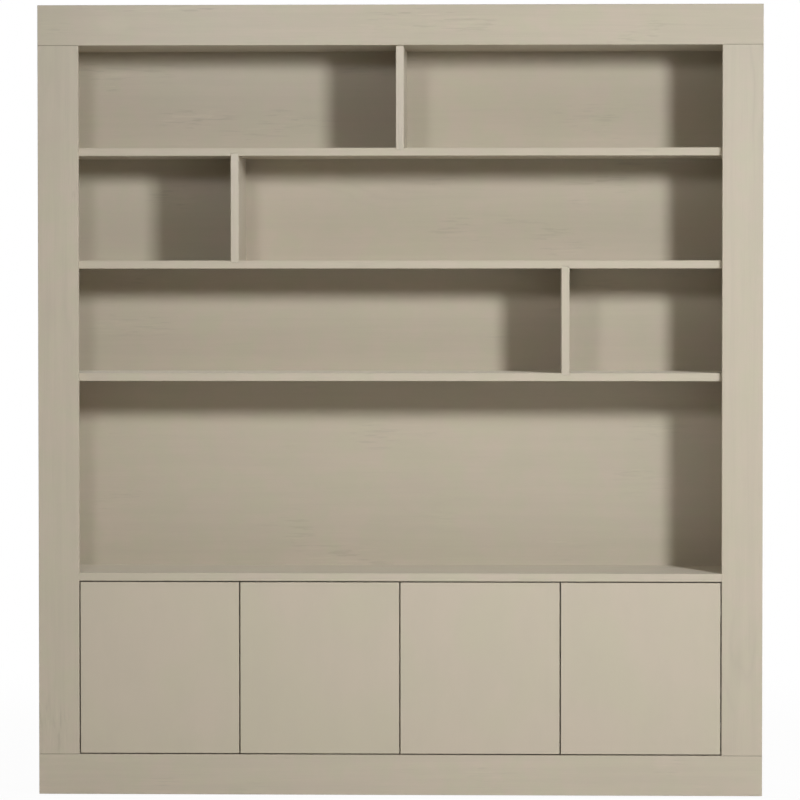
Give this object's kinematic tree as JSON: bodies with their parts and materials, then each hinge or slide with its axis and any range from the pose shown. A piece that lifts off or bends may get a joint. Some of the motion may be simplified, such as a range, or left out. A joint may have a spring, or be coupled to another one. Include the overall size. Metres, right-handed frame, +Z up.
{
  "type": "wall unit",
  "caption": "Tall wide wall unit: a broad painted face frame, rows of open compartments split by dividers, and a low cupboard with flush swing doors under a counter.",
  "frame": {"origin": "on the floor, under the middle of the unit's width and depth", "axes": "+X to the right as seen from the front, +Y to the rear, +Z up"},
  "size_m": [2, 0.35, 2.205],
  "materials": {
    "frame_paint": "matt painted pine, brushed so that the grain stands out",
    "shelf_paint": "matt painted pine",
    "inside_paint": "matt painted pine board",
    "back_paint": "matt painted board with level grain",
    "door_paint": "smooth matt paint",
    "outer_paint": "matt painted pine board",
    "plain_wood": "unpainted planed pine",
    "hinge_steel": "nickel-plated pressed steel",
    "pin_steel": "nickel-plated steel",
    "latch_plastic": "moulded plastic",
    "plunger_plastic": "moulded plastic",
    "bracket_steel": "zinc-plated steel",
    "glide_plastic": "moulded plastic"
  },
  "bodies": {
    "cabinet": {"back_panel_lower": "back_paint", "back_panel_middle": "back_paint", "back_panel_upper": "back_paint", "cabinet_floor": "inside_paint", "cabinet_partition": "inside_paint", "ceiling_panel": "inside_paint", "counter_top": "shelf_paint", "divider_lower": "shelf_paint", "divider_middle": "shelf_paint", "divider_upper": "shelf_paint", "floor_glides": "glide_plastic", "frame_tongues": "plain_wood", "header_board": "frame_paint", "hinge_arms": "hinge_steel", "hinge_mounting_plates": "hinge_steel", "inner_shelf_left": "inside_paint", "inner_shelf_right": "inside_paint", "latch_housings": "latch_plastic", "left_cupboard_side": "inside_paint", "left_post": "frame_paint", "left_side_board": "outer_paint", "plinth_board": "frame_paint", "plinth_support": "plain_wood", "rear_plinth_rail": "plain_wood", "rear_top_rail": "plain_wood", "right_cupboard_side": "inside_paint", "right_post": "frame_paint", "right_side_board": "outer_paint", "shelf_lower": "shelf_paint", "shelf_middle": "shelf_paint", "shelf_pins": "pin_steel", "shelf_upper": "shelf_paint", "top_cover": "outer_paint", "wall_brackets": "bracket_steel"},
    "outer_links_1": {"outer_links_1": "hinge_steel"},
    "door_1": {"door_1": "door_paint", "hinge_cups_1": "hinge_steel"},
    "inner_links_1": {"inner_links_1": "hinge_steel"},
    "latch_plunger_1": {"latch_plunger_1": "plunger_plastic"},
    "outer_links_2": {"outer_links_2": "hinge_steel"},
    "door_2": {"door_2": "door_paint", "hinge_cups_2": "hinge_steel"},
    "inner_links_2": {"inner_links_2": "hinge_steel"},
    "latch_plunger_2": {"latch_plunger_2": "plunger_plastic"},
    "outer_links_3": {"outer_links_3": "hinge_steel"},
    "door_3": {"door_3": "door_paint", "hinge_cups_3": "hinge_steel"},
    "inner_links_3": {"inner_links_3": "hinge_steel"},
    "latch_plunger_3": {"latch_plunger_3": "plunger_plastic"},
    "outer_links_4": {"outer_links_4": "hinge_steel"},
    "door_4": {"door_4": "door_paint", "hinge_cups_4": "hinge_steel"},
    "inner_links_4": {"inner_links_4": "hinge_steel"},
    "latch_plunger_4": {"latch_plunger_4": "plunger_plastic"}
  },
  "joints": [
    {"name": "outer_links_1_turn", "type": "hinge", "parent": "cabinet", "child": "outer_links_1", "pos_m": [-0.84998, -0.14267, 0.3545], "axis": [0, 0, -1], "range_deg": [-25.05, 0]},
    {"name": "door_1_swing", "type": "hinge", "parent": "outer_links_1", "child": "door_1", "pos_m": [-0.87209, -0.15982, 0.3545], "axis": [0, 0, -1], "range_deg": [0, 115.02]},
    {"name": "inner_links_1_turn", "type": "hinge", "parent": "door_1", "child": "inner_links_1", "pos_m": [-0.86865, -0.16222, 0.3545], "axis": [0, 0, -1], "range_deg": [-123.6, 0]},
    {"name": "latch_1_push", "type": "slide", "parent": "cabinet", "child": "latch_plunger_1", "axis": [0, -1, 0], "range_m": [0, 0.02]},
    {"name": "outer_links_2_turn", "type": "hinge", "parent": "cabinet", "child": "outer_links_2", "pos_m": [-0.03627, -0.14267, 0.3545], "axis": [0, 0, 1], "range_deg": [-25.05, 0]},
    {"name": "door_2_swing", "type": "hinge", "parent": "outer_links_2", "child": "door_2", "pos_m": [-0.01416, -0.15982, 0.3545], "axis": [0, 0, 1], "range_deg": [0, 115.02]},
    {"name": "inner_links_2_turn", "type": "hinge", "parent": "door_2", "child": "inner_links_2", "pos_m": [-0.0176, -0.16222, 0.3545], "axis": [0, 0, 1], "range_deg": [-123.6, 0]},
    {"name": "latch_2_push", "type": "slide", "parent": "cabinet", "child": "latch_plunger_2", "axis": [0, -1, 0], "range_m": [0, 0.02]},
    {"name": "outer_links_3_turn", "type": "hinge", "parent": "cabinet", "child": "outer_links_3", "pos_m": [0.03627, -0.14267, 0.3545], "axis": [0, 0, -1], "range_deg": [-25.05, 0]},
    {"name": "door_3_swing", "type": "hinge", "parent": "outer_links_3", "child": "door_3", "pos_m": [0.01416, -0.15982, 0.3545], "axis": [0, 0, -1], "range_deg": [0, 115.02]},
    {"name": "inner_links_3_turn", "type": "hinge", "parent": "door_3", "child": "inner_links_3", "pos_m": [0.0176, -0.16222, 0.3545], "axis": [0, 0, -1], "range_deg": [-123.6, 0]},
    {"name": "latch_3_push", "type": "slide", "parent": "cabinet", "child": "latch_plunger_3", "axis": [0, -1, 0], "range_m": [0, 0.02]},
    {"name": "outer_links_4_turn", "type": "hinge", "parent": "cabinet", "child": "outer_links_4", "pos_m": [0.84998, -0.14267, 0.3545], "axis": [0, 0, 1], "range_deg": [-25.05, 0]},
    {"name": "door_4_swing", "type": "hinge", "parent": "outer_links_4", "child": "door_4", "pos_m": [0.87209, -0.15982, 0.3545], "axis": [0, 0, 1], "range_deg": [0, 115.02]},
    {"name": "inner_links_4_turn", "type": "hinge", "parent": "door_4", "child": "inner_links_4", "pos_m": [0.86865, -0.16222, 0.3545], "axis": [0, 0, 1], "range_deg": [-123.6, 0]},
    {"name": "latch_4_push", "type": "slide", "parent": "cabinet", "child": "latch_plunger_4", "axis": [0, -1, 0], "range_m": [0, 0.02]}
  ],
  "couplings": [
    {"joint": "outer_links_1_turn", "follows": "door_1_swing", "ratio": -0.2175},
    {"joint": "inner_links_1_turn", "follows": "door_1_swing", "ratio": -1.0745},
    {"joint": "latch_1_push", "follows": "door_1_swing", "m_per_rad": 0.009963},
    {"joint": "outer_links_2_turn", "follows": "door_2_swing", "ratio": -0.2175},
    {"joint": "inner_links_2_turn", "follows": "door_2_swing", "ratio": -1.0745},
    {"joint": "latch_2_push", "follows": "door_2_swing", "m_per_rad": 0.009963},
    {"joint": "outer_links_3_turn", "follows": "door_3_swing", "ratio": -0.2175},
    {"joint": "inner_links_3_turn", "follows": "door_3_swing", "ratio": -1.0745},
    {"joint": "latch_3_push", "follows": "door_3_swing", "m_per_rad": 0.009963},
    {"joint": "outer_links_4_turn", "follows": "door_4_swing", "ratio": -0.2175},
    {"joint": "inner_links_4_turn", "follows": "door_4_swing", "ratio": -1.0745},
    {"joint": "latch_4_push", "follows": "door_4_swing", "m_per_rad": 0.009963}
  ]
}
